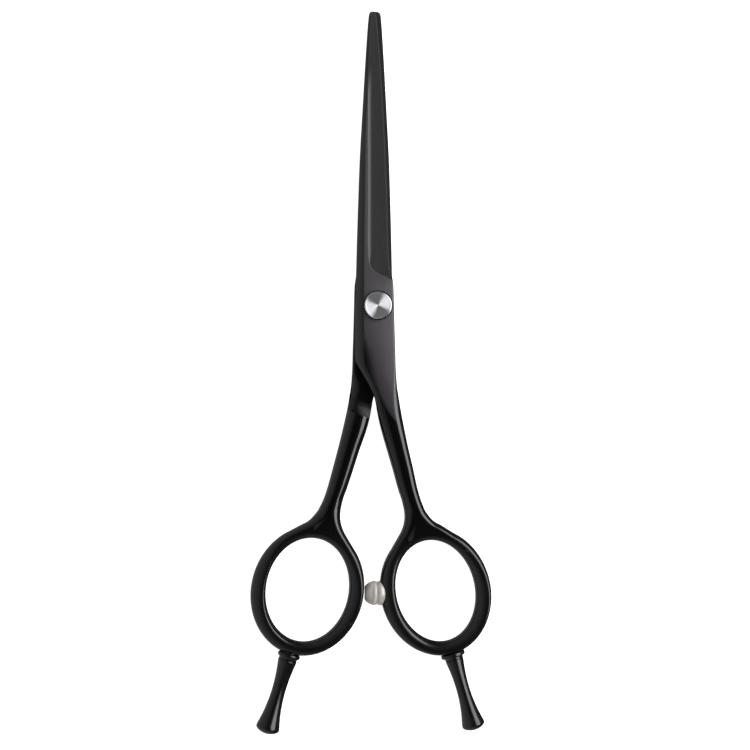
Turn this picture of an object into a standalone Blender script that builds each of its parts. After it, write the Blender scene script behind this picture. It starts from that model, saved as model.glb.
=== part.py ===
"""Hair cutting shears: two forged halves on a tensioned pivot, with a silicone bumper and two finger rests.

World frame: the shears lie closed with their tips towards +Y and their front half on top (+Z).
The origin is on the pivot's axis, where the flat back of the tension screw touches the table.
Lengths below are in millimetres and are turned into metres when a mesh is made.
"""
import math

import bmesh
import bpy
from mathutils import Matrix, Vector

MM = 0.001

# Heights
MID_HEIGHT = 2.8            # plane between the two halves
INNER_GAP = 0.025           # each half's inner face lies this far off that plane
PLATE_TOP = 2.25            # outer face of a blade at the pivot, above the mid plane
TIP_TOP = 1.25              # the same at the blade's tip
HANDLE_HALF = 2.4           # half the thickness of the shanks and rings
SPINE_WALL = 0.75           # height of the upright wall along a blade's spine
EDGE_WALL = 0.12            # height of the land along the cutting edge
SHOULDER_WALL = 1.9         # height of the upright wall beside the pivot
NECK_WALL = 1.32            # height of the outer wall below the pivot
GROUND_END = 7.2            # y where the ground behind the cutting edge begins to run out
GROUND_RUN_OUT = 2.5        # length over which it does

# The rear half is the front half turned half a turn about this line along Y
MIRROR_X = -1.0
TIP_MIRROR_X = -0.815       # the closed tips meet a little nearer the pivot's axis

# Rounding
SIDE_STEPS = 4              # mesh steps round a quarter of a handle's section
RING_STEPS = 40             # mesh steps round a finger ring
CUT_STEPS = 32              # sides of the pivot's round pieces

# Pivot
HEAD_RADIUS = 3.2
HEAD_BASE = 5.29
HEAD_TOP = 6.15
HEAD_WASHER_RADIUS = 3.55
NECK_RADIUS = 1.8
NECK_FLAT = 1.4
BARREL_RADIUS = 1.5
BARREL_BASE = 1.0
TAP_RADIUS = 0.87
THREAD_RADIUS = 0.84
RECESS_TOP = 3.2
THRUST_RADIUS = 2.9
BUSH_RADIUS = 2.2
COUNTERBORE_RADIUS = 3.1
COUNTERBORE_TOP = 1.25
TENSION_RADIUS = 2.9
TENSION_TOP = 0.72
KEY_HOLE_RADIUS = 0.42
KEY_HOLE_OFFSET = 1.9
FIT = 0.03                  # radial clearance of the running fits

# Ring fittings
BUMPER_Y = -67.9
BUMPER_TIP = -3.22
BUMPER_SEAT = 0.40
STEM_RADIUS = 1.0
STEM_END = 2.4
REST_STEPS = 24
SEAT_GAP = 0.05             # clearance of a saddle to the ring it sits on

# Blade rows from the tip down, as (spine, bevel line, ridge, cutting edge), each (x, y)
BLADE_ROWS = [
    ((-1.62, 69.40), (-1.42, 69.34), (-1.38, 69.34), (-1.00, 69.40)),
    ((-2.04, 69.15), (-1.66, 69.05), (-1.62, 69.05), (-0.62, 69.15)),
    ((-2.24, 68.60), (-1.80, 68.50), (-1.76, 68.50), (-0.42, 68.60)),
    ((-2.34, 67.50), (-1.90, 67.50), (-1.86, 67.50), (-0.30, 67.50)),
    ((-2.86, 60.40), (-2.32, 60.40), (-2.28, 60.40), (0.30, 60.40)),
    ((-3.30, 53.30), (-2.46, 53.30), (-2.42, 53.30), (0.78, 53.30)),
    ((-3.62, 47.80), (-2.52, 47.80), (-2.42, 47.80), (1.14, 47.80)),
    ((-3.85, 43.90), (-2.76, 43.90), (-2.40, 43.90), (1.37, 43.90)),
    ((-4.38, 34.40), (-3.00, 34.40), (-2.38, 34.40), (1.77, 34.40)),
    ((-4.73, 25.00), (-3.24, 25.00), (-2.38, 25.00), (2.15, 25.00)),
    ((-5.03, 15.50), (-3.28, 15.50), (-2.40, 15.50), (2.36, 15.50)),
    ((-5.12, 12.20), (-3.33, 12.20), (-2.34, 12.20), (2.47, 12.20)),
    ((-5.18, 10.00), (-3.37, 10.00), (-2.06, 9.90), (2.63, 10.00)),
    ((-5.21, 8.90), (-3.40, 8.90), (-1.13, 8.50), (2.82, 8.80)),
    ((-5.23, 8.10), (-3.42, 8.10), (0.35, 7.40), (2.98, 8.00)),
    ((-5.25, 7.30), (-3.45, 7.30), (2.17, 6.60), (3.22, 7.20)),
    ((-5.28, 5.90), (-3.50, 5.90), (3.15, 5.70), (3.45, 5.90)),
    ((-5.31, 4.30), (-3.54, 4.30), (3.42, 4.30), (3.62, 4.30)),
    ((-5.35, 0.00), (-3.66, 0.00), (3.52, 0.00), (3.74, 0.00)),
    ((-5.38, -6.00), (-3.62, -6.00), (3.66, -6.00), (3.90, -6.00)),
    ((-5.40, -12.60), (-3.45, -12.40), (3.80, -12.00), (4.08, -12.00)),
    ((-4.20, -15.20), (-2.60, -14.80), (3.85, -14.40), (4.14, -14.40)),
    ((-2.40, -18.80), (-0.55, -18.40), (3.95, -17.40), (4.32, -17.40)),
]

# Neck rows, from the crotch to the shank: inner side and outer side, with how far the underside has
# dropped there (0 on the inner face, 1 at full thickness)
NECK_ROWS = [
    ((-0.80, -22.10), (4.55, -19.90), 0.0),
    ((-0.52, -23.60), (4.72, -20.90), 0.0),
    ((-0.27, -25.10), (4.88, -21.90), 0.3),
    ((-0.02, -26.40), (5.07, -23.10), 1.0),
]

# How rounded the last two blade rows are, and the neck and shank rows from the crotch down; the
# rest of the handle is fully round
BLADE_SOFTNESS = [0.15, 0.35]
HANDLE_SOFTNESS = [0.55, 0.7, 0.8, 0.9, 0.96]

# Where the crest begins across those handle rows, as a share of the width from each side
HANDLE_CREST = [(0.34, 0.13), (0.40, 0.15), (0.44, 0.17), (0.48, 0.20), (0.50, 0.27), (0.48, 0.38)]
ROUND_CREST = (0.46, 0.46)

# Shanks from the neck down, as (y of inner side, inner x, y of outer side, outer x)
FRONT_SHANK = [
    (-29.4, 0.68, -27.4, 5.86),
    (-34.1, 2.02, -33.1, 7.02),
    (-38.8, 3.40, -38.8, 8.34),
    (-43.6, 4.73, -43.6, 9.40),
    (-46.0, 5.53, -46.0, 10.12),
    (-48.3, 6.07, -48.3, 11.03),
]
REAR_SHANK = [
    (-29.4, 0.76, -27.4, 5.98),
    (-34.1, 2.40, -33.1, 7.35),
    (-38.8, 3.90, -38.8, 8.86),
    (-43.6, 5.50, -43.6, 10.20),
    (-46.0, 6.36, -46.0, 11.06),
    (-48.3, 6.86, -48.3, 12.20),
]

# Fillets between shank and ring, each running away from the shank
FRONT_INNER_FILLET = [(6.14, -50.7), (5.55, -53.0), (4.25, -55.4)]
FRONT_OUTER_FILLET = [(12.90, -50.7), (15.00, -51.95)]
REAR_INNER_FILLET = [(6.90, -50.7), (6.29, -53.0), (5.02, -55.4)]
REAR_OUTER_FILLET = [(14.33, -50.7), (16.40, -51.85)]

# Rings: centre, half length, half width and lean, for the outside and for the finger hole
FRONT_RING = ((13.55, -67.52), 15.17, 13.03, -15.0)
FRONT_HOLE = ((13.52, -67.32), 12.07, 9.28, -12.2)
REAR_RING = ((14.74, -67.33), 15.48, 13.29, -15.8)
REAR_HOLE = ((14.77, -67.11), 12.34, 9.74, -11.9)
RING_FROM = 4               # ring steps, counted from its top, where the two fillets meet it
RING_TO = 36

# Finger rests: where each one's axis meets its ring's outer side, its length, its thickness and
# the radius of its saddle washer; both lean outwards alike
FRONT_REST = ((17.62, -82.33), 18.6, 0.965, 2.85)
REAR_REST = ((19.06, -82.46), 19.4, 1.0, 2.65)
REST_LEAN = math.radians(16.3)


def clear_scene():
    for old in list(bpy.data.objects):
        bpy.data.objects.remove(old, do_unlink=True)


def material(name, colour, roughness, metallic=0.0, alpha=1.0):
    made = bpy.data.materials.new(name)
    made.use_nodes = True
    shader = made.node_tree.nodes["Principled BSDF"]
    shader.inputs["Base Color"].default_value = (*colour, 1.0)
    shader.inputs["Roughness"].default_value = roughness
    shader.inputs["Metallic"].default_value = metallic
    shader.inputs["Alpha"].default_value = alpha
    return made


def add_object(name, mesh_data, finish=None, parent=None):
    made = bpy.data.objects.new(name, mesh_data)
    bpy.context.collection.objects.link(made)
    if finish:
        made.data.materials.append(finish)
    if parent:
        made.parent = parent
    return made


def mesh_from(name, points, faces, matrix=None):
    """A mesh in metres from points in millimetres."""
    built = bmesh.new()
    verts = [built.verts.new(Vector(point) * MM) for point in points]
    for face in faces:
        built.faces.new([verts[index] for index in face])
    bmesh.ops.recalc_face_normals(built, faces=built.faces)
    if matrix:
        bmesh.ops.transform(built, matrix=matrix, verts=built.verts)
    data = bpy.data.meshes.new(name)
    built.to_mesh(data)
    built.free()
    data.shade_smooth()
    data.set_sharp_from_angle(angle=math.radians(30))
    return data


# ---------------------------------------------------------------- the two halves

def mix(first, second, share):
    return first + (second - first) * share


def side_profile(outline, inner, top, wall, roundness):
    """Points from the outline's mid height, up and over to the flat at 'inner'.

    Roundness 0 is an upright wall and a straight bevel, 1 is a quarter of an ellipse.
    """
    points = []
    for step in range(SIDE_STEPS + 1):
        angle = math.radians(90) * step / SIDE_STEPS
        bevel_share = max(0.0, (step - 1) / (SIDE_STEPS - 1))
        facet_height = mix(wall, top, bevel_share) if step else INNER_GAP
        inward = mix(bevel_share, 1 - math.cos(angle), roundness)
        height = mix(facet_height, mix(INNER_GAP, top, math.sin(angle)), roundness)
        points.append((mix(outline[0], inner[0], inward), mix(outline[1], inner[1], inward), height))
    return points


def under_profile(outline, inner, drop):
    """The same below the outline, down to 'drop' under the mid plane; flat where drop is 0."""
    points = []
    for step in range(1, SIDE_STEPS + 1):
        angle = math.radians(90) * step / SIDE_STEPS
        inward = 1 - math.cos(angle)
        height = INNER_GAP - drop * math.sin(angle)
        points.append((mix(outline[0], inner[0], inward), mix(outline[1], inner[1], inward), height))
    return points


def between(first, second, share):
    """The point that lies the given share of the way from one (x, y) point to another."""
    return (mix(first[0], second[0], share), mix(first[1], second[1], share))


def chain(outline, top_inner, low_inner, top, wall, roundness, drop):
    """One side of a section, from the underside's flat, round the outline, to the top's flat."""
    under = under_profile(outline, low_inner, drop)
    return under[::-1] + side_profile(outline, top_inner, top, wall, roundness)


def plate_height(y):
    """Height of a blade's outer face above the mid plane."""
    if y < 12:
        return PLATE_TOP
    return mix(PLATE_TOP, TIP_TOP, (y - 12) / (69.4 - 12))


def blade_chains():
    """Left and right chains of the rows that both halves share."""
    rows = []
    sharp_rows = len(BLADE_ROWS) - len(BLADE_SOFTNESS)
    for (spine, bevel, ridge, edge), softness in zip(BLADE_ROWS, [0.0] * sharp_rows + BLADE_SOFTNESS):
        top = plate_height(spine[1])
        wall = SPINE_WALL * top / PLATE_TOP
        past_ground = min(1.0, max(0.0, (GROUND_END - edge[1]) / GROUND_RUN_OUT))
        edge_wall = mix(EDGE_WALL, SHOULDER_WALL, past_ground)
        left = chain(spine, bevel, between(spine, edge, 0.4), top, wall, softness, 0.0)
        right = chain(edge, ridge, between(edge, spine, 0.4), top, edge_wall, softness, 0.0)
        rows.append((left, right))
    return rows


def handle_chains(shank):
    """Left and right chains of the neck and of one half's shank."""
    rows = []
    legs = [((inner_x, inner_y), (outer_x, outer_y), 1.0) for inner_y, inner_x, outer_y, outer_x in shank]
    sections = NECK_ROWS + legs
    softness = HANDLE_SOFTNESS + [1.0] * (len(sections) - len(HANDLE_SOFTNESS))
    crests = HANDLE_CREST + [ROUND_CREST] * (len(sections) - len(HANDLE_CREST))
    for index, (inner, outer, drop) in enumerate(sections):
        roundness = softness[index]
        left_share, right_share = crests[index]
        full = mix(PLATE_TOP, HANDLE_HALF, min(1.0, (index + 1) / (len(NECK_ROWS) + 1)))
        fall = drop * (HANDLE_HALF + INNER_GAP)
        left = chain(inner, between(inner, outer, left_share), between(inner, outer, ROUND_CREST[0]),
                     full, SPINE_WALL, roundness, fall)
        right = chain(outer, between(outer, inner, right_share), between(outer, inner, ROUND_CREST[1]),
                      full, NECK_WALL, roundness, fall)
        rows.append((left, right))
    return rows


def ellipse_point(ring, step, grow=0.0):
    """A point of a leaning ellipse, counted clockwise from its top."""
    (centre_x, centre_y), half_length, half_width, lean = ring
    angle = math.tau * step / RING_STEPS
    tilt = math.radians(lean)
    along = (half_length + grow) * math.cos(angle)
    across = (half_width + grow) * math.sin(angle)
    return (centre_x + along * math.sin(tilt) + across * math.cos(tilt),
            centre_y + along * math.cos(tilt) - across * math.sin(tilt))


def round_chain(outline, crest, half_height):
    """A rounded side of the ring's section, from the lower crest to the upper one."""
    under = under_profile(outline, crest, half_height + INNER_GAP)
    return under[::-1] + side_profile(outline, crest, half_height, 0.0, 1.0)


def ring_chains(ring, hole, grow=0.0):
    """Outer and inner chains at each step round the ring; both end on the same crest."""
    outer, inner = [], []
    for step in range(RING_STEPS):
        rim = ellipse_point(ring, step, grow)
        bore = ellipse_point(hole, step, -grow)
        crest = between(rim, bore, 0.5)
        outer.append(round_chain(rim, crest, HANDLE_HALF + grow))
        inner.append(round_chain(bore, crest, HANDLE_HALF + grow))
    return outer, inner


def fillet_chains(points, neck_end, ring_end, neck_depth, ring_depth, side):
    """Chains along a fillet, from shank to ring; side is 1 where the solid lies to the run's left.

    The flat starts square to the fillet, at a depth that falls towards the ring.
    """
    full = [neck_end] + points + [ring_end]
    chains = []
    for index in range(1, len(full) - 1):
        run = Vector(full[index + 1]) - Vector(full[index - 1])
        normal = Vector((-run.y, run.x)).normalized() * side
        neck_share = 1 - index / (len(full) - 1)
        depth = mix(ring_depth, neck_depth, neck_share ** 2)
        inner = Vector(full[index]) + normal * depth
        chains.append(round_chain(full[index], tuple(inner), HANDLE_HALF))
    return chains


class Weave:
    """Collects points once each, and the quads between neighbouring chains."""

    def __init__(self):
        self.points = []
        self.faces = []
        self.known = {}

    def add(self, point):
        key = tuple(round(value, 5) for value in point)
        if key not in self.known:
            self.known[key] = len(self.points)
            self.points.append(point)
        return self.known[key]

    def chain(self, points):
        return [self.add(point) for point in points]

    def face(self, corners):
        kept = []
        for corner in corners:
            if not kept or kept[-1] != corner:
                kept.append(corner)
        if kept[0] == kept[-1]:
            kept.pop()
        if len(set(kept)) > 2:
            self.faces.append(kept)

    def strip(self, first, second):
        for step in range(len(first) - 1):
            self.face([first[step], first[step + 1], second[step + 1], second[step]])


def half_geometry(shank, ring, hole, inner_fillet, outer_fillet):
    """Points and faces of one half: blade, shank and finger ring as a single forging."""
    weave = Weave()
    rows = blade_chains() + handle_chains(shank)
    left = [weave.chain(row[0]) for row in rows]
    right = [weave.chain(row[1]) for row in rows]
    weave.face(left[0] + right[0][::-1])
    for index in range(len(rows) - 1):
        weave.strip(left[index], left[index + 1])
        weave.strip(right[index], right[index + 1])
        weave.face([left[index][-1], left[index + 1][-1], right[index + 1][-1], right[index][-1]])
        weave.face([left[index][0], left[index + 1][0], right[index + 1][0], right[index][0]])

    outer, inner = ring_chains(ring, hole)
    inner_y, inner_x, outer_y, outer_x = shank[-1]
    neck_depth = ROUND_CREST[0] * (outer_x - inner_x)
    ring_depth = 0.38 * (ring[2] - hole[2])
    inner_side = fillet_chains(inner_fillet, (inner_x, inner_y), ellipse_point(ring, RING_TO),
                               neck_depth, ring_depth, 1)
    outer_side = fillet_chains(outer_fillet, (outer_x, outer_y), ellipse_point(ring, RING_FROM),
                               neck_depth, ring_depth, -1)
    path = [left[-1]]
    path += [weave.chain(points) for points in inner_side]
    path += [weave.chain(outer[step]) for step in range(RING_TO, RING_FROM - 1, -1)]
    path += [weave.chain(points) for points in outer_side[::-1]]
    path += [right[-1]]
    for first, second in zip(path, path[1:]):
        weave.strip(first, second)
    bore = [weave.chain(points) for points in inner]
    for step in range(RING_STEPS):
        weave.strip(bore[step], bore[(step + 1) % RING_STEPS])

    down = path[:len(inner_side) + 2]
    up = path[-len(outer_side) - 2:]
    over = [bore[step % RING_STEPS] for step in range(RING_TO + 1, RING_STEPS + RING_FROM)]
    for level in (0, -1):
        weave.face([points[level] for points in down + over + up])
    return weave.points, weave.faces


def mirror_line(y):
    """X of the line that the two halves mirror about, at a height on the blade."""
    share = min(1.0, max(0.0, (y - 2) / 66))
    return mix(MIRROR_X, TIP_MIRROR_X, share)


def to_front(point):
    return (point[0], point[1], MID_HEIGHT + point[2])


def to_rear(point):
    return (2 * mirror_line(point[1]) - point[0], point[1], MID_HEIGHT - point[2])


def ring_cutter(name, ring, hole, place):
    """A closed ring a little fatter than the finger ring, for cutting the saddles that sit on it."""
    weave = Weave()
    outer, inner = ring_chains(ring, hole, SEAT_GAP)
    rims = [weave.chain(points) for points in outer]
    bores = [weave.chain(points) for points in inner]
    for step in range(RING_STEPS):
        following = (step + 1) % RING_STEPS
        weave.strip(rims[step], rims[following])
        weave.strip(bores[step], bores[following])
    return guide(name, mesh_from(name, [place(point) for point in weave.points], weave.faces))


# ---------------------------------------------------------------- turned pieces

def turned_geometry(profile, steps, clamps=()):
    """Points and faces of a profile of (height, radius) turned about +Z.

    A radius of 0 ends on the axis; without such ends the profile closes on itself.
    clamps holds (index of profile point, half width) for places milled to two flats.
    """
    limits = dict(clamps)
    points, loops = [], []
    for index, (height, radius) in enumerate(profile):
        if radius == 0:
            loops.append([len(points)] * steps)
            points.append((0.0, 0.0, height))
            continue
        loops.append(list(range(len(points), len(points) + steps)))
        for step in range(steps):
            angle = math.tau * step / steps
            x = radius * math.cos(angle)
            if index in limits:
                x = max(-limits[index], min(limits[index], x))
            points.append((x, radius * math.sin(angle), height))
    pairs = list(zip(loops, loops[1:]))
    if profile[0][1] and profile[-1][1]:
        pairs.append((loops[-1], loops[0]))
    faces = []
    for lower, upper in pairs:
        for step in range(steps):
            following = (step + 1) % steps
            corners = [lower[step], lower[following], upper[following], upper[step]]
            unique = list(dict.fromkeys(corners))
            if len(unique) > 2:
                faces.append(unique)
    return points, faces


def turned(name, profile, steps=CUT_STEPS, clamps=(), matrix=None, scale_x=1.0):
    points, faces = turned_geometry(profile, steps, clamps)
    points = [(x * scale_x, y, z) for x, y, z in points]
    return mesh_from(name, points, faces, matrix)


def guide(name, data):
    """A cutter: kept out of renders and shown as wire."""
    made = add_object(name, data)
    made.hide_render = True
    made.display_type = "WIRE"
    return made


def combine(target, other, operation):
    joined = target.modifiers.new(other.name, "BOOLEAN")
    joined.operation = operation
    joined.object = other
    joined.solver = "EXACT"


def axis_frame(origin, direction):
    """Matrix that takes +Z to a direction in the plane of the shears, with +X upright."""
    along = Vector(direction).normalized()
    upright = Vector((0, 0, 1))
    side = along.cross(upright)
    rotation = Matrix((upright, side, along)).transposed().to_4x4()
    return Matrix.Translation(Vector(origin) * MM) @ rotation


# ---------------------------------------------------------------- sub-parts

def add_half(name, finish, place, shank, ring, hole, inner_fillet, outer_fillet, parent=None):
    points, faces = half_geometry(shank, ring, hole, inner_fillet, outer_fillet)
    data = mesh_from(name, [place(point) for point in points], faces)
    return add_object(name, data, finish, parent)


def add_front_half(finish, pivot):
    half = add_half("front_blade", finish, to_front, FRONT_SHANK, FRONT_RING, FRONT_HOLE,
                    FRONT_INNER_FILLET, FRONT_OUTER_FILLET, pivot)
    recess = THRUST_RADIUS + FIT
    hole = NECK_RADIUS + FIT
    profile = [(1.0, 0), (1.0, recess), (RECESS_TOP, recess), (RECESS_TOP, hole), (7.0, hole), (7.0, 0)]
    flats = [(3, NECK_FLAT + FIT), (4, NECK_FLAT + FIT)]
    combine(half, guide("front_pivot_cutter", turned("front_pivot_cutter", profile, clamps=flats)), "DIFFERENCE")
    stem_hole = [(-1.0, 0), (-1.0, STEM_RADIUS + FIT), (STEM_END - BUMPER_SEAT + 0.1, STEM_RADIUS + FIT),
                 (STEM_END - BUMPER_SEAT + 0.1, 0)]
    frame = axis_frame((BUMPER_SEAT, BUMPER_Y, MID_HEIGHT), (1, 0, 0))
    cutter = turned("stem_cutter", stem_hole, REST_STEPS, matrix=frame)
    combine(half, guide("stem_cutter", cutter), "DIFFERENCE")
    return half


def add_rear_half(finish):
    half = add_half("rear_blade", finish, to_rear, REAR_SHANK, REAR_RING, REAR_HOLE,
                    REAR_INNER_FILLET, REAR_OUTER_FILLET)
    profile = [(-1.0, 0), (-1.0, COUNTERBORE_RADIUS), (COUNTERBORE_TOP, COUNTERBORE_RADIUS),
               (COUNTERBORE_TOP, BUSH_RADIUS + FIT), (4.0, BUSH_RADIUS + FIT), (4.0, 0)]
    combine(half, guide("rear_pivot_cutter", turned("rear_pivot_cutter", profile)), "DIFFERENCE")
    return half


def add_pivot_bolt(finish, parent):
    """Spun head, neck with two flats for the front half, and a barrel tapped from below."""
    profile = [(4.6, 0), (4.6, TAP_RADIUS), (BARREL_BASE, TAP_RADIUS), (BARREL_BASE, BARREL_RADIUS - 0.1),
               (BARREL_BASE + 0.1, BARREL_RADIUS), (RECESS_TOP + 0.03, BARREL_RADIUS),
               (RECESS_TOP + 0.03, NECK_RADIUS), (HEAD_BASE, NECK_RADIUS),
               (HEAD_BASE, HEAD_RADIUS - 0.12), (HEAD_BASE + 0.12, HEAD_RADIUS),
               (HEAD_TOP - 0.28, HEAD_RADIUS), (HEAD_TOP - 0.08, HEAD_RADIUS - 0.1),
               (HEAD_TOP, HEAD_RADIUS - 0.32), (HEAD_TOP - 0.05, HEAD_RADIUS - 0.5), (HEAD_TOP - 0.05, 0)]
    flats = [(6, NECK_FLAT), (7, NECK_FLAT)]
    return add_object("pivot_bolt", turned("pivot_bolt", profile, clamps=flats), finish, parent)


def add_ring_washer(name, finish, parent, inner, outer, low, high, dish=0.0):
    """A flat or dished washer; dish lifts its inner edge."""
    profile = [(low, outer), (high, outer), (high + dish, inner), (low + dish, inner)]
    return add_object(name, turned(name, profile), finish, parent)


def add_tension_screw(finish, parent):
    """Flat-headed screw under the rear half, with a threaded shank up into the bolt."""
    profile = [(0, 0), (0, TENSION_RADIUS - 0.15), (0.15, TENSION_RADIUS), (TENSION_TOP, TENSION_RADIUS),
               (TENSION_TOP, THREAD_RADIUS), (4.2, THREAD_RADIUS), (4.3, THREAD_RADIUS - 0.1),
               (4.3, 0)]
    screw = add_object("tension_screw", turned("tension_screw", profile), finish, parent)
    for side, label in ((-1, "left"), (1, "right")):
        hole = [(-0.4, 0), (-0.4, KEY_HOLE_RADIUS), (0.45, KEY_HOLE_RADIUS), (0.45, 0)]
        place = Matrix.Translation((side * KEY_HOLE_OFFSET * MM, 0, 0))
        name = "key_hole_" + label
        combine(screw, guide(name, turned(name, hole, 12, matrix=place)), "DIFFERENCE")
    return screw


def add_bumper(finish, parent, ring_shape):
    """Domed silicone stop, saddled on the front ring, with a stem in the ring's bore."""
    reach = BUMPER_SEAT - BUMPER_TIP
    profile = [(-1.4, 0), (-1.4, 2.2), (-1.15, 2.52), (-0.75, 2.8), (-0.3, 2.95), (0.1, 3.0),
               (0.28, 2.94), (0.38, 2.8), (1.3, 2.8), (2.1, 2.62), (2.8, 2.2), (3.25, 1.65),
               (reach, 1.1), (reach, 0)]
    frame = axis_frame((BUMPER_SEAT, BUMPER_Y, MID_HEIGHT), (-1, 0, 0))
    data = turned("bumper", profile, CUT_STEPS, matrix=frame, scale_x=2.8 / 3.0)
    bumper = add_object("bumper", data, finish, parent)
    combine(bumper, ring_shape, "DIFFERENCE")
    stem = [(-1.0, 0), (-1.0, STEM_RADIUS), (STEM_END - BUMPER_SEAT, STEM_RADIUS), (STEM_END - BUMPER_SEAT, 0)]
    stem_frame = axis_frame((BUMPER_SEAT, BUMPER_Y, MID_HEIGHT), (1, 0, 0))
    combine(bumper, guide("bumper_stem", turned("bumper_stem", stem, REST_STEPS, matrix=stem_frame)), "UNION")
    return bumper


def rest_profile(length, girth):
    """Half section of a finger rest with its blind threaded bore, measured from the ring."""
    bore = STEM_RADIUS + FIT
    profile = [(6.4, 0), (6.4, bore), (1.28, bore), (1.28, 2.1 * girth), (1.45, 2.22 * girth)]
    taper = [(0.14, 2.06), (0.226, 1.85), (0.332, 1.69), (0.452, 1.63), (0.553, 1.69), (0.653, 1.86),
             (0.759, 2.14), (0.854, 2.52), (0.91, 2.76), (0.93, 2.80), (0.95, 2.66), (0.972, 2.1),
             (0.99, 1.2), (1.0, 0)]
    return profile + [(share * length, radius * girth) for share, radius in taper]


def add_finger_rest(label, finish, steel, blade, pivot, foot, size, lean, ring_shape):
    """Finger rest, the threaded stud it screws onto, and the saddle washer between it and the ring."""
    length, girth, washer_radius = size
    direction = (math.sin(lean), -math.cos(lean), 0)
    frame = axis_frame((*foot, MID_HEIGHT), direction)
    spin = bpy.data.objects.new("rest_axis_" + label, None)
    bpy.context.collection.objects.link(spin)
    spin.parent = pivot
    name = "finger_rest_" + label
    rest = add_object(name, turned(name, rest_profile(length, girth), REST_STEPS), finish, spin)
    rest.matrix_parent_inverse = Matrix.Identity(4)
    rest.matrix_basis = frame

    name = "rest_washer_" + label
    hole = STEM_RADIUS + FIT
    profile = [(-1.0, hole), (-1.0, washer_radius), (1.0, washer_radius), (1.23, washer_radius - 0.2),
               (1.23, hole)]
    washer = add_object(name, turned(name, profile, REST_STEPS, matrix=frame), finish, pivot)
    combine(washer, ring_shape, "DIFFERENCE")

    name = "rest_stud_" + label
    profile = [(-1.7, 0), (-1.7, STEM_RADIUS), (6.1, STEM_RADIUS), (6.3, STEM_RADIUS - 0.2), (6.3, 0)]
    add_object(name, turned(name, profile, REST_STEPS, matrix=frame), steel, pivot)
    profile = [(-1.9, 0), (-1.9, hole), (2.0, hole), (2.0, 0)]
    name = "stud_cutter_" + label
    cutter = guide(name, turned(name, profile, REST_STEPS, matrix=frame))
    combine(blade, cutter, "DIFFERENCE")


def build():
    clear_scene()
    black_coating = material("black_coating", (0.022, 0.022, 0.024), 0.35)
    spun_steel = material("spun_steel", (0.78, 0.78, 0.79), 0.28, 1.0)
    steel = material("steel", (0.55, 0.55, 0.56), 0.35, 1.0)
    polymer = material("dark_polymer", (0.03, 0.03, 0.03), 0.55)
    silicone = material("clear_silicone", (0.55, 0.52, 0.49), 0.3)

    pivot = bpy.data.objects.new("blade_pivot", None)
    bpy.context.collection.objects.link(pivot)

    front = add_front_half(black_coating, pivot)
    rear = add_rear_half(black_coating)
    add_pivot_bolt(spun_steel, pivot)
    add_ring_washer("head_washer", polymer, pivot, NECK_RADIUS + 0.05, HEAD_WASHER_RADIUS, 5.08, 5.26)
    add_ring_washer("thrust_washer", polymer, pivot, BARREL_RADIUS + FIT, THRUST_RADIUS, 2.80, RECESS_TOP - 0.03)
    add_ring_washer("pivot_bush", polymer, None, BARREL_RADIUS + FIT, BUSH_RADIUS, COUNTERBORE_TOP, 2.75)
    add_ring_washer("spring_washer", steel, None, BARREL_RADIUS + 0.06, 2.75, 0.78, 0.98, dish=0.2)
    add_tension_screw(steel, pivot)

    front_ring = ring_cutter("front_ring_cutter", FRONT_RING, FRONT_HOLE, to_front)
    rear_ring = ring_cutter("rear_ring_cutter", REAR_RING, REAR_HOLE, to_rear)
    add_bumper(silicone, pivot, front_ring)
    front_foot, *front_size = FRONT_REST
    rear_foot, *rear_size = REAR_REST
    turned_foot = (2 * MIRROR_X - rear_foot[0], rear_foot[1])
    add_finger_rest("right", black_coating, steel, front, pivot, front_foot, front_size, REST_LEAN, front_ring)
    add_finger_rest("left", black_coating, steel, rear, None, turned_foot, rear_size, -REST_LEAN, rear_ring)


build()
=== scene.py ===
"""Hair cutting shears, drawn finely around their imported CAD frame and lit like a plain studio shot.

The two forged halves, the pivot's head and screw, the bumper and the finger rests are drawn again
with the same outlines as the CAD nodes they stand for. Lengths in the shape tables are millimetres.
"""
import math

import bmesh
import bpy
import numpy as np
from mathutils import Matrix, Vector


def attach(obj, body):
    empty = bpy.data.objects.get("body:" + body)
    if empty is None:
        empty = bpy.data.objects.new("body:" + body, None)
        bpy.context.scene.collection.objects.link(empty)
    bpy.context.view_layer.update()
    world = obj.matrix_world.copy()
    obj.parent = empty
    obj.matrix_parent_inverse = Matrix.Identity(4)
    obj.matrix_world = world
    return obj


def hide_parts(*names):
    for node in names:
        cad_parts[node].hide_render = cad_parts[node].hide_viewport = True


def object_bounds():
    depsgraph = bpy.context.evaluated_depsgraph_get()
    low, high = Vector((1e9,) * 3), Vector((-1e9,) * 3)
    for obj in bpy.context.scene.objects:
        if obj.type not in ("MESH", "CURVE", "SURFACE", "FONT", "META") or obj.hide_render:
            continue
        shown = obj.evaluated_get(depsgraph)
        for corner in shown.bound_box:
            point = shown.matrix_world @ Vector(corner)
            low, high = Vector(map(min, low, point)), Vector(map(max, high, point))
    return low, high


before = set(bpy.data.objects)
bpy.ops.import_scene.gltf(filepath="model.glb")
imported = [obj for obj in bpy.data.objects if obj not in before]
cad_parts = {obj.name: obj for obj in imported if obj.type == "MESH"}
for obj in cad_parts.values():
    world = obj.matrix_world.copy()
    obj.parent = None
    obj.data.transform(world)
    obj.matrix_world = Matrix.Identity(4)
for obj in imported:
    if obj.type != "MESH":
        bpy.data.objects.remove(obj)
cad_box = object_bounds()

MM = 0.001

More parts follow.
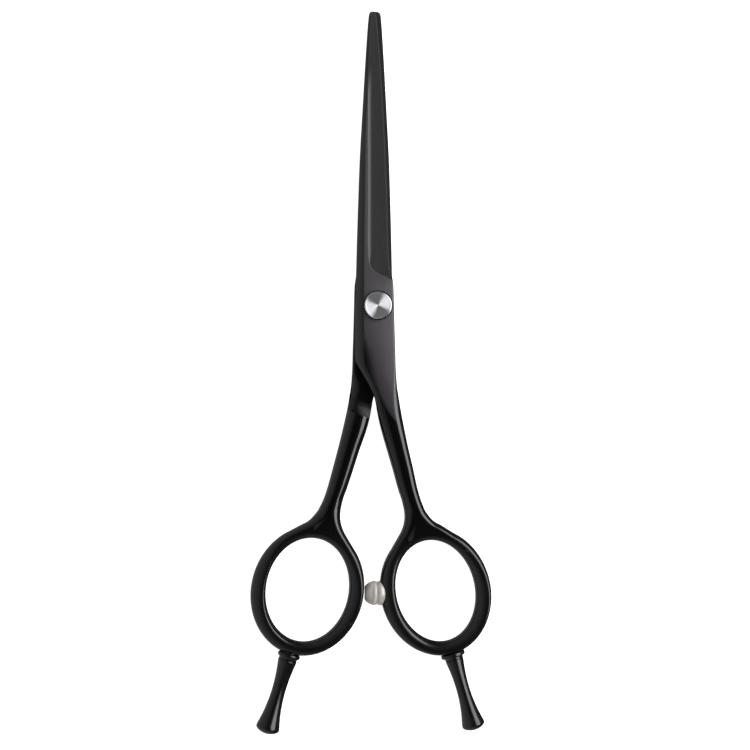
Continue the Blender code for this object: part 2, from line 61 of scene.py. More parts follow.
# ---------------------------------------------------------------- heights and sizes
MID_HEIGHT = 2.8            # of the plane where the two halves meet
INNER_GAP = 0.025           # from that plane to a half's inner face
PLATE_TOP = 2.25            # outer face over that plane, by the pivot
TIP_TOP = 1.25              # and at the tip
TAPER_FROM = 12             # the y from which the plate gets thinner
TAPER_TO = 69.4
HANDLE_HALF = 2.4           # half the thickness of shanks and rings
MIRROR_X = -1.0             # the rear half is the front one mirrored here, by the pivot
TIP_MIRROR_X = -0.815       # and here at the tip
MIRROR_FROM = 2
MIRROR_OVER = 66
BEVEL_SLOPE = 0.93
PLATE_CORNER = 0.42         # rounding of the plate's right-hand edge
SIDE_SHARE = 0.46           # of a shank's width taken by each rounded side
LAND_X = -2.38              # where the ridge runs along the straight part of the blade
EDGE_TOP = 0.22             # height of the ground face at the cutting edge
GROUND_END = 4.4            # the y where the ground face has ended
GROUND_HOLLOW = 0.10
INNER_HOLLOW = 0.16
SHARP_ANGLE = 32            # edges that bend by more degrees are drawn sharp

SIDE_STEPS = 24
LAND_STEPS = 8
RING_STEPS = 240
FILLET_STEPS = 22
SOFT_POWER = 2.2            # roundness of a ring section's side towards the upper left
FULL_POWER = 3.2            # and towards the lower right
LEAN_TO = (0.83, -0.56)     # that lower right direction
RING_LEAN = 0.34            # how far that side's crest moves across a ring
RING_FROM = 24              # the ring's rim is free between these two steps
RING_TO = 216
STEER_STEPS = 7.5           # past them, the point that steers a fillet's end
FADE_STEPS = 36
RING_SIDE = 0.40            # of a ring's width is rounded where a fillet joins it

# Rows of one half from the tip to the ring: left side, right side, bevel width
BLADE_ROWS = [
    ((-1.27, 69.44), (-0.78, 69.44), 0.10),
    ((-1.55, 69.37), (-0.74, 69.37), 0.22),
    ((-1.92, 69.16), (-0.64, 69.16), 0.36),
    ((-2.19, 68.70), (-0.46, 68.70), 0.44),
    ((-2.34, 67.50), (-0.30, 67.50), 0.46),
    ((-2.86, 60.40), (0.30, 60.40), 0.54),
    ((-3.30, 53.30), (0.78, 53.30), 0.84),
    ((-3.62, 47.80), (1.14, 47.80), 1.06),
    ((-3.85, 43.90), (1.37, 43.90), 1.12),
    ((-4.38, 34.40), (1.77, 34.40), 1.36),
    ((-4.73, 25.00), (2.15, 25.00), 1.48),
    ((-5.03, 15.50), (2.36, 15.50), 1.68),
    ((-5.12, 12.20), (2.47, 12.20), 1.74),
    ((-5.18, 10.00), (2.63, 10.00), 1.76),
    ((-5.22, 8.50), (2.90, 8.50), 1.77),
    ((-5.25, 7.20), (3.22, 7.20), 1.76),
    ((-5.28, 5.90), (3.45, 5.90), 1.75),
    ((-5.31, 4.30), (3.62, 4.30), 1.73),
    ((-5.35, 0.00), (3.74, 0.00), 1.68),
    ((-5.38, -6.00), (3.90, -6.00), 1.72),
    ((-5.40, -10.00), (4.02, -9.80), 1.78),
    ((-5.38, -12.70), (4.08, -12.00), 1.80),
    ((-4.20, -15.20), (4.14, -14.40), 1.30),
    ((-2.30, -18.60), (4.30, -17.20), 1.10),
    ((-0.80, -22.10), (4.55, -19.90), 1.00),
    ((-0.52, -23.60), (4.72, -20.90), 1.00),
    ((-0.27, -25.10), (4.88, -21.90), 1.00),
    ((-0.02, -26.40), (5.07, -23.10), 1.05),
]
FRONT_SHANK = [
    ((0.68, -29.40), (5.86, -27.40), 1.2),
    ((2.02, -34.10), (7.02, -33.10), 1.4),
    ((3.40, -38.80), (8.34, -38.80), 1.4),
    ((4.73, -43.60), (9.40, -43.60), 1.4),
    ((5.53, -46.00), (10.12, -46.00), 1.4),
    ((6.07, -48.30), (11.03, -48.30), 1.4),
]
REAR_SHANK = [
    ((0.76, -29.40), (5.98, -27.40), 1.2),
    ((2.40, -34.10), (7.35, -33.10), 1.4),
    ((3.90, -38.80), (8.86, -38.80), 1.4),
    ((5.50, -43.60), (10.20, -43.60), 1.4),
    ((6.36, -46.00), (11.06, -46.00), 1.4),
    ((6.86, -48.30), (12.20, -48.30), 1.4),
]
FRONT_INNER_FILLET = [(6.14, -50.7), (5.55, -53.0), (4.25, -55.4)]
FRONT_OUTER_FILLET = [(12.90, -50.7), (15.00, -51.95)]
REAR_INNER_FILLET = [(6.90, -50.7), (6.29, -53.0), (5.02, -55.4)]
REAR_OUTER_FILLET = [(14.33, -50.7), (16.40, -51.85)]

FRONT_RING = ((13.55, -67.52), 15.17, 13.03, -15.0)
FRONT_HOLE = ((13.52, -67.32), 12.07, 9.28, -12.2)
REAR_RING = ((14.74, -67.33), 15.48, 13.29, -15.8)
REAR_HOLE = ((14.77, -67.11), 12.34, 9.74, -11.9)

# Where the ridge between the flat land and the ground face runs, x against y
RIDGE = [(69.5, -1.30), (69.2, -1.60), (68.5, -1.76), (67.5, -1.84), (60.4, -2.28), (53.3, -2.40),
         (43.9, -2.40), (34.4, -2.38), (25.0, -2.38), (15.5, -2.40), (12.2, -2.36), (10.9, -2.22),
         (9.9, -2.00), (8.7, -1.43), (7.9, -0.62), (7.2, 0.47), (6.7, 1.80), (6.1, 2.90), (5.46, 3.45),
         (4.3, 3.62)]

RUN_OUT = [(x, y) for y, x in RIDGE[9:]]     # its last stretch, by the pivot
RUN_OUT_END = 5.46

# The ramp that ends the inner face's recess: a point where it meets the shank, the direction it
# sinks in, its depth and length, and the length of the steep wall up to the shank's full thickness
RAMP_FOOT = (1.9, -25.85)
RAMP_UP = (-0.38, 0.925)
RAMP_DEPTH = 1.3
RAMP_REACH = 3.6
RAMP_WALL = 0.16
LIP_WIDTH = 0.95            # of the shallow lip where the ground face ends by the pivot

# Pivot
HEAD_RADIUS = 3.2
HEAD_BASE = 5.29
HEAD_TOP = 6.15
FIT = 0.03                  # between a stem and its hole
STEM_RADIUS = 1.0

# Finger rests: where they sit, length, girth and washer radius
FRONT_REST = ((17.62, -82.33), 18.6, 0.965, 2.85)
REAR_REST = ((-21.06, -82.46), 19.4, 1.0, 2.65)
REST_LEAN = 16.3
REST_DOME = 0.93            # share of the length where the domed end begins
REST_END = 2.80             # radius there

# Bumper
BUMPER_Y = -67.9
BUMPER_TIP = -3.22
BUMPER_SEAT = 0.40
BUMPER_PLACE = (BUMPER_SEAT, BUMPER_Y, MID_HEIGHT)
BUMPER_FLAT = 2.8 / 3       # its height against its width


# ---------------------------------------------------------------- small mathematics

def mix(first, second, share):
    return first + (second - first) * share


def between(first, second, share):
    return (mix(first[0], second[0], share), mix(first[1], second[1], share))


def smooth(low, high, value):
    """0 below low, 1 above high, with soft ends."""
    share = np.clip((value - low) / (high - low), 0.0, 1.0)
    return share * share * (3 - 2 * share)


def soft_min(first, second, reach):
    """The smaller of two heights, rounded over where they cross."""
    reach = max(reach, 1e-6)
    near = np.clip(reach - np.abs(first - second), 0.0, None) / reach
    return np.minimum(first, second) - near * near * reach / 4


def curve_through(knots, values):
    """Monotone cubic through points; knots rise."""
    knots = np.asarray(knots, float)
    values = np.asarray(values, float)
    gap = np.diff(knots)
    rate = np.diff(values) / gap
    slope = np.zeros(len(knots))
    slope[0], slope[-1] = rate[0], rate[-1]
    for index in range(1, len(knots) - 1):
        before, after = rate[index - 1], rate[index]
        if before * after > 0:
            heavy = 2 * gap[index] + gap[index - 1]
            light = gap[index] + 2 * gap[index - 1]
            slope[index] = (heavy + light) / (heavy / before + light / after)

    def value(at):
        at = np.clip(at, knots[0], knots[-1])
        index = np.clip(np.searchsorted(knots, at) - 1, 0, len(gap) - 1)
        step = gap[index]
        share = (at - knots[index]) / step
        return ((1 + 2 * share) * (1 - share) ** 2 * values[index]
                + share * (1 - share) ** 2 * step * slope[index]
                + share ** 2 * (3 - 2 * share) * values[index + 1]
                + share ** 2 * (share - 1) * step * slope[index + 1])
    return value


def catmull(points, steps):
    """Points along a smooth curve through the inner points; the two end points only steer it."""
    found = []
    rows = [np.array(point, float) for point in points]
    for index in range(1, len(rows) - 2):
        before, start, end, after = rows[index - 1:index + 3]
        for step in range(steps):
            share = step / steps
            found.append(0.5 * (2 * start + (end - before) * share
                                + (2 * before - 5 * start + 4 * end - after) * share ** 2
                                + (3 * start - before - 3 * end + after) * share ** 3))
    found.append(rows[-2])
    return [tuple(point) for point in found]


def distance_to(line, points):
    """Signed distance of points to a line of points; positive on its left."""
    points = np.asarray(points, float)
    best = np.full(len(points), 1e9)
    sign = np.ones(len(points))
    for start, end in zip(line, line[1:]):
        start = np.array(start, float)
        run = np.array(end, float) - start
        share = np.clip(((points - start) @ run) / (run @ run), 0.0, 1.0)
        offset = points - (start + share[:, None] * run)
        length = np.hypot(offset[:, 0], offset[:, 1])
        side = run[0] * (points[:, 1] - start[1]) - run[1] * (points[:, 0] - start[0])
        nearer = length < best - 1e-9
        best = np.where(nearer, length, best)
        sign = np.where(nearer, np.where(side >= 0, 1.0, -1.0), sign)
    return best * sign


# ---------------------------------------------------------------- the two halves

ridge_x = curve_through([-y for y, x in RIDGE], [x for y, x in RIDGE])


def eased(steps):
    """Shares from 0 to 1 that lie closer together at both ends."""
    return [0.5 - 0.5 * math.cos(math.pi * step / steps) for step in range(steps + 1)]


SIDE_SHARES = eased(SIDE_STEPS)
LAND_SHARES = eased(LAND_STEPS)


def sampled(first, last, pitch):
    count = max(1, int(math.ceil((last - first) / pitch)))
    return [mix(first, last, step / count) for step in range(count)]


def round_over(inward, width, depth, power):
    """How far a rounded edge lies under the flat, at a distance in from the outline."""
    share = np.clip(1 - inward / np.maximum(width, 1e-6), 0.0, 1.0)
    return depth * (1 - (1 - share ** power) ** (1 / power))


# How wide the face's soft shoulder beside the bevel is, down the blade
FACE_SHOULDER = curve_through([-70.0, -13.0, -5.0, 3.0, 7.0, 10.5, 15.0, 24.0, 32.0],
                              [0.15, 0.3, 0.6, 1.0, 1.7, 2.9, 4.0, 4.6, 4.0])


class Half:
    """Sections of one half, from its tip down to where its ring's fillets begin."""

    def __init__(self, shank, turned_over):
        # Roundness of the shank's two sides
        self.left_power, self.right_power = (2.3, 2.2) if turned_over else (2.2, 2.9)
        rows = BLADE_ROWS + shank
        middles = [np.array(between(left, right, 0.5)) for left, right, _ in rows]
        knots = [0.0]
        for first, second in zip(middles, middles[1:]):
            knots.append(knots[-1] + float(np.hypot(*(second - first))))
        self.end = knots[-1]
        self.left_x = curve_through(knots, [row[0][0] for row in rows])
        self.left_y = curve_through(knots, [row[0][1] for row in rows])
        self.right_x = curve_through(knots, [row[1][0] for row in rows])
        self.right_y = curve_through(knots, [row[1][1] for row in rows])
        self.bevel = curve_through(knots, [row[2] for row in rows])

    def positions(self):
        """Where sections are cut: closely at the tip, the ground's end and the neck."""
        marks = [(0.0, 0.05), (0.5, 0.25), (3.0, 0.9), (56.0, 0.14), (65.5, 0.5), (79.5, 0.14),
                 (100.0, 0.5), (self.end, 1.0)]
        found = []
        for (start, pitch), (stop, _) in zip(marks, marks[1:]):
            found += sampled(start, stop, pitch)
        return found + [self.end]

    def section(self, at):
        """Plan points and heights of one section, as left, land and right parts, above and below."""
        left = np.array([self.left_x(at), self.left_y(at)])
        right = np.array([self.right_x(at), self.right_y(at)])
        width = float(np.hypot(*(right - left)))
        y = float(0.5 * (left[1] + right[1]))
        taper = max(0.0, (y - TAPER_FROM) / (TAPER_TO - TAPER_FROM))
        top = mix(PLATE_TOP, TIP_TOP, taper)
        top = mix(top, HANDLE_HALF, float(smooth(-16.0, -26.0, y)))
        handle = float(smooth(-19.0, -34.0, y))
        roll = mix(0.30, 0.42, float(smooth(10.0, -8.0, y))) * min(1.0, width / 4)
        shoulder = float(FACE_SHOULDER(-y))
        bevel = float(self.bevel(at))
        facet_end = bevel + roll / BEVEL_SLOPE + 0.03

        ridge = width
        if y > GROUND_END:
            ridge = float(np.clip(ridge_x(-y) - left[0], 0.05, width))
        corner = mix(PLATE_CORNER, SIDE_SHARE * width, float(smooth(-15.0, -31.0, y)))
        corner_depth = mix(PLATE_CORNER, HANDLE_HALF, float(smooth(-15.0, -30.0, y)))
        edge_softness = float(smooth(6.4, 5.0, y))
        corner = max(corner * edge_softness, 0.02)
        corner_depth *= edge_softness

        right_part = max(width - ridge, corner)
        left_part = mix(facet_end, SIDE_SHARE * width, handle)
        left_part = min(left_part, width - right_part - 0.01 * width)

        def plan_at(inward):
            return mix(left, right, (inward / width)[:, None])

        def heights(inward):
            """Height of the outer face at distances in from the left side."""
            sunk = np.clip(1 - (inward - bevel) / shoulder, 0.0, None)
            face = top - 0.05 * shoulder * sunk ** 2
            wall = top - BEVEL_SLOPE * bevel
            across = np.clip(inward / bevel, 0, 1)
            swell = 0.3 * bevel * across * (1 - across)
            facet = soft_min(wall + BEVEL_SLOPE * inward + swell, face, roll)
            facet -= round_over(inward, 0.16, 0.16, 2.0) * min(1.0, width)
            full = top - round_over(inward, SIDE_SHARE * width, top, self.left_power)
            found = mix(facet, full, handle)
            found -= round_over(width - inward, corner, corner_depth, mix(2.0, self.right_power, handle))
            if y > GROUND_END:
                found = np.minimum(found, ground(inward))
            crown = np.clip(inward - 0.2 * width, 0, None) ** 2 / (8 * width)
            crown *= float(smooth(8.5, 4.5, y)) * (1 - handle)
            return np.maximum(found - crown, INNER_GAP + 0.05)

        def ground(inward):
            """The face ground down to the cutting edge, with a hollow run-out by the pivot."""
            from_edge = width - inward
            straight = width - (LAND_X - left[0]) if y < 15 else width - ridge
            reach = max(straight, 0.3)
            pitch = (top - EDGE_TOP) / reach
            hollow = GROUND_HOLLOW * np.sin(np.pi * np.clip(from_edge / reach, 0, 1))
            soft = mix(0.05, 0.15, float(smooth(66.0, 50.0, y)))
            face = soft_min(EDGE_TOP + pitch * from_edge - hollow, np.full_like(inward, top), soft)
            face = np.minimum(face, 0.10 + 0.80 * from_edge)
            if y > 14:
                return face
            plan = plan_at(inward)
            inside = np.abs(distance_to(RUN_OUT, plan))
            lip_width = LIP_WIDTH * np.clip((plan[:, 0] + 0.9) / 3.5, 0.1, 1.0)
            lip_drop = np.minimum(0.55 * np.minimum(inside, lip_width), 0.8 * (top - face))
            drop = mix(lip_drop, top - face, smooth(lip_width, lip_width + 1.5, inside))
            beyond = (inward < ridge) | (y < RUN_OUT_END)
            return np.where(beyond, top, mix(face, top - drop, float(smooth(12.0, 9.5, y))))

        def depths(inward):
            """Height of the inner face, down to the shank's underside below the shoulder."""
            hollow = INNER_HOLLOW * np.sin(np.pi * (inward / width)) ** 1.5
            hollow = hollow * float(smooth(8.0, 15.0, y))
            hollow = hollow * float(smooth(69.0, 64.0, y))
            low = float(smooth(-15.5, -20.5, y))
            lift = round_over(width - inward, mix(0.62, 2.3, low), mix(0.55, 1.3, low), 2.0)
            lift = lift * float(smooth(3.0, -2.0, y))
            rest = INNER_GAP + hollow + lift
            full = -HANDLE_HALF + round_over(inward, SIDE_SHARE * width, HANDLE_HALF, self.left_power)
            full += round_over(width - inward, SIDE_SHARE * width, HANDLE_HALF, self.right_power)
            full = np.minimum(full, rest)
            if y > -14:
                return rest
            away = (plan_at(inward) - np.array(RAMP_FOOT)) @ np.array(RAMP_UP)
            ramp = RAMP_DEPTH * np.clip(1 - away / RAMP_REACH, 0.0, None) ** 1.8
            ramp += (HANDLE_HALF - RAMP_DEPTH) * np.clip(1 - away / RAMP_WALL, 0.0, None)
            return np.maximum(full, rest - ramp)

        def part(low, high, shares):
            inward = mix(low, high, np.array(shares))
            return plan_at(inward), heights(inward), depths(inward)

        return [part(0.0, left_part, SIDE_SHARES),
                part(left_part, width - right_part, LAND_SHARES),
                part(width, width - right_part, SIDE_SHARES)]


def ellipse_point(ring, step):
    """A point of a leaning ellipse, counted clockwise from its top."""
    (centre_x, centre_y), half_length, half_width, lean = ring
    angle = math.tau * step / RING_STEPS
    tilt = math.radians(lean)
    along = half_length * math.cos(angle)
    across = half_width * math.sin(angle)
    return (centre_x + along * math.sin(tilt) + across * math.cos(tilt),
            centre_y + along * math.cos(tilt) - across * math.sin(tilt))


def lean_of(turned_over):
    """The direction of the fuller side of a ring's section."""
    return Vector((-LEAN_TO[0] if turned_over else LEAN_TO[0], LEAN_TO[1]))


def round_chain(outline, crest, turned_over, shank_power=0.0, along=1.0):
    """A rounded side of a section, from the lower crest, round the outline, to the upper crest.

    Its roundness goes from the shank's to the ring's as along goes from 0 to 1.
    """
    facing = Vector(outline) - Vector(crest)
    fullness = 0.5 + 0.5 * facing.normalized().dot(lean_of(turned_over))
    ring_power = mix(SOFT_POWER, FULL_POWER, fullness)
    power = mix(shank_power, ring_power, float(smooth(0.0, 1.0, along)))
    upper = []
    for share in SIDE_SHARES:
        height = HANDLE_HALF * (1 - (1 - share) ** power) ** (1 / power)
        x, y = between(outline, crest, share)
        upper.append((x, y, height))
    lower = [(x, y, -height) for x, y, height in upper[:0:-1]]
    return lower + [(upper[0][0], upper[0][1], -0.0)] + upper


class Weave:
    """Collects points once each, and the quads between neighbouring chains."""

    def __init__(self):
        self.points = []
        self.faces = []
        self.known = {}

    def add(self, point):
        key = tuple(round(float(value), 5) + 0.0 for value in point)
        if key not in self.known:
            self.known[key] = len(self.points)
            self.points.append(key)
        return self.known[key]

    def chain(self, points):
        return [self.add(point) for point in points]

    def face(self, corners):
        kept = []
        for corner in corners:
            if not kept or kept[-1] != corner:
                kept.append(corner)
        if kept[0] == kept[-1]:
            kept.pop()
        if len(set(kept)) > 2:
            self.faces.append(kept)

    def strip(self, first, second):
        for step in range(len(first) - 1):
            self.face([first[step], first[step + 1], second[step + 1], second[step]])


def side_chain(part):
    """A side of a section from the under crest, round the outline, to the top crest."""
    plan, upper, lower = part
    under = [(*plan[index], lower[index]) for index in range(len(plan) - 1, -1, -1)]
    over = [(*plan[index], upper[index]) for index in range(len(plan))]
    return under + over


def fillet_run(weave, points, steer, neck_depth, ring_depth, side, turned_over, shank_power):
    """Chains along a fillet, from shank to ring; side is 1 where the solid lies to the run's left."""
    steps = max(2, FILLET_STEPS // (len(points) - 1))
    line = catmull([steer[0]] + points + [steer[1]], steps)
    chains = []
    for index in range(1, len(line) - 1):
        run = Vector(line[index + 1]) - Vector(line[index - 1])
        normal = Vector((-run.y, run.x)).normalized() * side
        share = 1 - index / (len(line) - 1)
        depth = mix(ring_depth, neck_depth, share ** 2)
        crest = tuple(Vector(line[index]) + normal * depth)
        chain = round_chain(line[index], crest, turned_over, shank_power, 1 - share)
        chains.append(weave.chain(chain))
    return chains


def half_mesh(turned_over, shank, ring, hole, inner_fillet, outer_fillet):
    """Points and faces of one half: blade, shank and finger ring as a single forging."""
    half = Half(shank, turned_over)
    weave = Weave()
    left, land_top, land_under, right = [], [], [], []
    for at in half.positions():
        sides = half.section(at)
        left.append(weave.chain(side_chain(sides[0])))
        right.append(weave.chain(side_chain(sides[2])))
        plan, upper, lower = sides[1]
        land_top.append(weave.chain([(*plan[i], upper[i]) for i in range(len(plan))]))
        land_under.append(weave.chain([(*plan[i], lower[i]) for i in range(len(plan))]))
    weave.face(left[0] + land_top[0][1:] + right[0][::-1][1:] + land_under[0][::-1][1:-1])
    for rows in (left, right, land_top, land_under):
        for first, second in zip(rows, rows[1:]):
            weave.strip(first, second)

    left_end, right_end = shank[-1][0], shank[-1][1]
    width = right_end[0] - left_end[0]
    inner_line = [left_end] + inner_fillet + [ellipse_point(ring, RING_TO)]
    outer_line = [right_end] + outer_fillet + [ellipse_point(ring, RING_FROM)]
    ring_depth = RING_SIDE * (ring[2] - hole[2])
    neck_depth = SIDE_SHARE * width
    inner_steer = (shank[-2][0], ellipse_point(ring, RING_TO - STEER_STEPS))
    outer_steer = (shank[-2][1], ellipse_point(ring, RING_FROM + STEER_STEPS))
    inner_side = fillet_run(weave, inner_line, inner_steer, neck_depth, ring_depth, 1,
                            turned_over, half.left_power)
    outer_side = fillet_run(weave, outer_line, outer_steer, neck_depth, ring_depth, -1,
                            turned_over, half.right_power)
    rims, bores = [], []
    for step in range(RING_STEPS):
        rim, bore = ellipse_point(ring, step), ellipse_point(hole, step)
        across = (Vector(bore) - Vector(rim)).normalized()
        fade = float(smooth(0, FADE_STEPS, min(step - RING_FROM, RING_TO - step)))
        crest = between(rim, bore, 0.5 + RING_LEAN * across.dot(lean_of(turned_over)) * fade)
        bores.append(weave.chain(round_chain(bore, crest, turned_over)))
        if RING_FROM <= step <= RING_TO:
            rims.append(weave.chain(round_chain(rim, crest, turned_over)))
    path = [left[-1]] + inner_side + rims[::-1] + outer_side[::-1] + [right[-1]]
    for first, second in zip(path, path[1:]):
        weave.strip(first, second)
    for step in range(RING_STEPS):
        weave.strip(bores[step], bores[(step + 1) % RING_STEPS])
    down = path[:len(inner_side) + 2]
    up = path[-len(outer_side) - 2:]
    over = [bores[step % RING_STEPS] for step in range(RING_TO + 1, RING_STEPS + RING_FROM)]
    for level, bridge in ((0, land_under[-1]), (-1, land_top[-1])):
        weave.face([points[level] for points in down + over + up] + bridge[::-1][1:-1])
    return weave.points, weave.faces


def mirror_line(y):
    """The x that the rear half is mirrored about."""
    return mix(MIRROR_X, TIP_MIRROR_X, np.clip((y - MIRROR_FROM) / MIRROR_OVER, 0.0, 1.0))


def to_front(point):
    return (point[0], point[1], MID_HEIGHT + point[2])


def to_rear(point):
    return (2 * mirror_line(point[1]) - point[0], point[1], MID_HEIGHT - point[2])


# ---------------------------------------------------------------- making objects

def link(name, data, finish=None):
    made = bpy.data.objects.new(name, data)
    bpy.context.scene.collection.objects.link(made)
    if finish:
        made.data.materials.append(finish)
    return made


def mesh_from(name, points, faces, matrix=None, sharp=SHARP_ANGLE):
    built = bmesh.new()
    verts = [built.verts.new((x * MM, y * MM, z * MM)) for x, y, z in points]
    for face in faces:
        try:
            built.faces.new([verts[index] for index in face])
        except ValueError:
            continue
    loose = [vert for vert in built.verts if not vert.link_faces]
    bmesh.ops.delete(built, geom=loose, context="VERTS")
    bmesh.ops.recalc_face_normals(built, faces=built.faces)
    if matrix:
        bmesh.ops.transform(built, matrix=matrix, verts=built.verts)
    data = bpy.data.meshes.new(name)
    built.to_mesh(data)
    built.free()
    data.shade_smooth()
    data.set_sharp_from_angle(angle=math.radians(sharp))
    return data


def turned_mesh(name, profile, steps, matrix=None, flats=None, sharp=SHARP_ANGLE):
    """A profile of (height, radius) turned about +Z; flats is (half width, low, high)."""
    points, loops = [], []
    for height, radius in profile:
        if radius == 0:
            loops.append([len(points)] * steps)
            points.append((0.0, 0.0, height))
            continue
        loops.append(list(range(len(points), len(points) + steps)))
        for step in range(steps):
            angle = math.tau * step / steps
            x = radius * math.cos(angle)
            if flats and flats[1] <= height <= flats[2]:
                x = max(-flats[0], min(flats[0], x))
            points.append((x, radius * math.sin(angle), height))
    pairs = list(zip(loops, loops[1:]))
    if profile[0][1] and profile[-1][1]:
        pairs.append((loops[-1], loops[0]))
    faces = []
    for lower, upper in pairs:
        for step in range(steps):
            following = (step + 1) % steps
            corners = [lower[step], lower[following], upper[following], upper[step]]
            unique = list(dict.fromkeys(corners))
            if len(unique) > 2:
                faces.append(unique)
    return mesh_from(name, points, faces, matrix, sharp)


def cut(target, data, operation="DIFFERENCE"):
    """Applies a Boolean with a mesh that then goes away."""
    tool = link("tool", data)
    step = target.modifiers.new("cut", "BOOLEAN")
    step.operation = operation
    step.object = tool
    step.solver = "EXACT"
    graph = bpy.context.evaluated_depsgraph_get()
    result = bpy.data.meshes.new_from_object(target.evaluated_get(graph))
    target.modifiers.clear()
    old = target.data
    target.data = result
    bpy.data.meshes.remove(old)
    bpy.data.objects.remove(tool, do_unlink=True)
    result.shade_smooth()
    result.set_sharp_from_angle(angle=math.radians(SHARP_ANGLE))


def axis_frame(origin, direction):
    along = Vector(direction).normalized()
    upright = Vector((0, 0, 1))
    side = along.cross(upright)
    rotation = Matrix((upright, side, along)).transposed().to_4x4()
    return Matrix.Translation(Vector(origin) * MM) @ rotation


def turned_piece(name, profile, steps, finish, matrix=None, **shape):
    name += "_fine"
    return link(name, turned_mesh(name, profile, steps, matrix, **shape), finish)


def place(piece, body, node):
    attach(piece, body)
    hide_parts(node)


# ---------------------------------------------------------------- materials

GRAIN_DEPTH = 0.00001       # metres; how deep most surfaces' fine grain is


class Nodes:
    """Short calls for building one material, or the world."""

    def __init__(self, owner):
        owner.use_nodes = True
        self.owner = owner
        self.tree = owner.node_tree
        self.shader = self.tree.nodes.get("Principled BSDF")
        self.place = self.node("ShaderNodeTexCoord").outputs

    def node(self, kind, **settings):
        made = self.tree.nodes.new(kind)
        for key, value in settings.items():
            setattr(made, key, value)
        return made

    def join(self, source, socket):
        self.tree.links.new(source, socket)

    def stretched(self, scale):
        made = self.node("ShaderNodeMapping")
        made.inputs["Scale"].default_value = scale
        self.join(self.place["Object"], made.inputs["Vector"])
        return made.outputs["Vector"]

    def noise(self, scale, detail=4.0, roughness=0.55, stretch=(1, 1, 1)):
        made = self.node("ShaderNodeTexNoise")
        made.inputs["Scale"].default_value = scale
        made.inputs["Detail"].default_value = detail
        made.inputs["Roughness"].default_value = roughness
        self.join(self.stretched(stretch), made.inputs["Vector"])
        return made.outputs["Fac"]

    def range(self, source, low, high, out_low, out_high):
        made = self.node("ShaderNodeMapRange")
        limits = (("From Min", low), ("From Max", high), ("To Min", out_low), ("To Max", out_high))
        for key, value in limits:
            made.inputs[key].default_value = value
        self.join(source, made.inputs["Value"])
        return made.outputs["Result"]

    def spread(self, noise, out_low, out_high):
        """A noise's usual values onto another range."""
        return self.range(noise, 0.3, 0.7, out_low, out_high)

    def math(self, operation, first, second):
        made = self.node("ShaderNodeMath", operation=operation)
        for index, value in enumerate((first, second)):
            if isinstance(value, (int, float)):
                made.inputs[index].default_value = value
            else:
                self.join(value, made.inputs[index])
        return made.outputs[0]

    def blend(self, share, first, second):
        """Between two values or two colours."""
        colour = any(isinstance(end, tuple) or getattr(end, "type", "") == "RGBA"
                     for end in (first, second))
        made = self.node("ShaderNodeMix", data_type="RGBA" if colour else "FLOAT")
        self.join(share, made.inputs[0])
        ends = (6, 7) if colour else (2, 3)
        for index, value in zip(ends, (first, second)):
            if isinstance(value, tuple):
                made.inputs[index].default_value = (*value, 1.0)
            elif isinstance(value, (int, float)):
                made.inputs[index].default_value = value
            else:
                self.join(value, made.inputs[index])
        return made.outputs[2 if colour else 0]

    def attribute(self, name):
        return self.node("ShaderNodeAttribute", attribute_name=name).outputs["Fac"]

    def edges(self, low, high):
        """1 on convex edges, where a coating wears."""
        point = self.node("ShaderNodeNewGeometry").outputs["Pointiness"]
        return self.range(point, low, high, 0.0, 1.0)

    def bump(self, height, strength, distance=GRAIN_DEPTH):
        made = self.node("ShaderNodeBump")
        made.inputs["Strength"].default_value = strength
        made.inputs["Distance"].default_value = distance
        self.join(height, made.inputs["Height"])
        self.join(made.outputs["Normal"], self.shader.inputs["Normal"])

    def set(self, **values):
        for key, value in values.items():
            socket = self.shader.inputs[key.replace("_", " ")]
            if isinstance(value, (int, float, tuple)):
                socket.default_value = (*value, 1.0) if isinstance(value, tuple) else value
            else:
                self.join(value, socket)


def black_coating():
    """Black: satin on the flat faces, dull on the ground one, glossy elsewhere; bare at the edge; the
    satin layer also paints light on the lit side of the flat faces and on the inner ramp.
    """
    made = Nodes(bpy.data.materials.new("black_coating"))
    satin_and_painted_light, ground, bare, worn = (made.attribute(name) for name in ("satin_and_painted_light", "ground", "bare", "worn"))
    grain = made.noise(5200, 3.0, 0.6, (1.0, 0.05, 1.0))
    cloud = made.noise(160, 3.0, 0.5)
    dust = made.noise(2600, 2.0, 0.5)
    wear = made.edges(0.57, 0.70)
    gloss_colour = made.blend(cloud, (0.0012, 0.0012, 0.0013), (0.0022, 0.0022, 0.0023))
    satin_and_painted_light_colour = made.blend(grain, (0.0630, 0.0572, 0.0652), (0.0790, 0.0725, 0.0815))
    ground_colour = made.blend(grain, (0.0110, 0.0109, 0.0118), (0.0146, 0.0145, 0.0156))
    # The lighter satin colour is the flat faces' own finish and also painted light, where the satin layer
    # grows towards their lit side and over the lit ramp.
    colour = made.blend(ground, made.blend(satin_and_painted_light, gloss_colour, satin_and_painted_light_colour), ground_colour)
    colour = made.blend(made.math("MULTIPLY", wear, 0.25), colour, (0.075, 0.072, 0.075))
    made.set(Base_Color=made.blend(bare, colour, (0.10, 0.098, 0.098)))
    made.set(Metallic=bare)
    fresh_rough = made.spread(cloud, 0.11, 0.15)
    worn_rough = made.spread(cloud, 0.22, 0.28)
    gloss_rough = made.blend(worn, fresh_rough, worn_rough)
    satin_rough = made.spread(grain, 0.37, 0.43)
    ground_rough = made.spread(grain, 0.88, 0.98)
    made.set(Roughness=made.blend(ground, made.blend(satin_and_painted_light, gloss_rough, satin_rough), ground_rough))
    made.shader.inputs["IOR"].default_value = 1.5
    rough_bump = made.math("MULTIPLY", grain, made.range(satin_and_painted_light, 0.0, 1.0, 0.06, 1.0))
    made.bump(made.math("ADD", rough_bump, made.math("MULTIPLY", dust, 0.08)), 0.22)
    return made.owner


